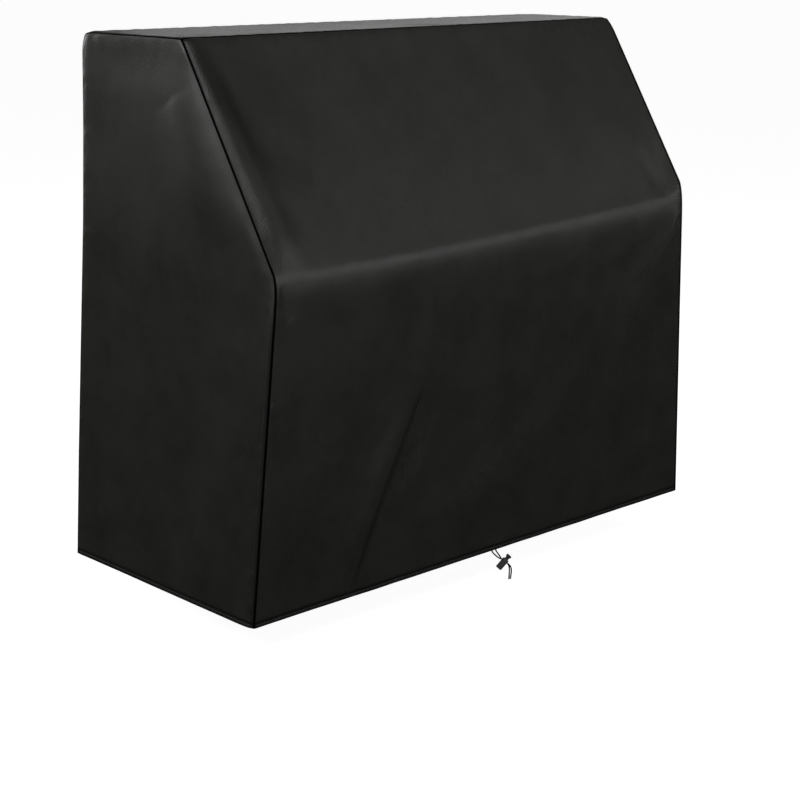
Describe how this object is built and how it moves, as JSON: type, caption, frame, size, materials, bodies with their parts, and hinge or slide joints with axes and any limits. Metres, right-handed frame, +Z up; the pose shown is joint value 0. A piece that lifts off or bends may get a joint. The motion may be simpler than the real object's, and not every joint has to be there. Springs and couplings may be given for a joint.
{
  "type": "fitted piano cover",
  "caption": "Fitted black cloth cover for an upright piano, with a sloped front over the keyboard and a drawcord with a sprung cord lock at the front hem.",
  "frame": {"origin": "underside of the top panel at its centre, where the cover rests on the piano's lid", "axes": "+X to the right seen from the front, -Y towards the front (the keyboard side), +Z up"},
  "size_m": [1.5372, 0.6432, 1.3039],
  "materials": {
    "cloth": "satin woven cloth with a coated back",
    "cord": "matte braided cord",
    "lock": "satin moulded plastic",
    "button": "satin moulded plastic"
  },
  "bodies": {
    "cover": {"front_panel": "cloth", "back_panel": "cloth", "left_side_panel": "cloth", "right_side_panel": "cloth", "top_panel": "cloth", "drawcord_strand_left": "cord", "drawcord_strand_right": "cord", "cord_lock_barrel": "lock"},
    "button": {"cord_lock_button": "button"}
  },
  "joints": [
    {"name": "button_press", "type": "slide", "parent": "cover", "child": "button", "axis": [-0.5121, 0.3841, -0.7682], "range_m": [0, 0.005], "stiffness_N_per_m": 300}
  ]
}
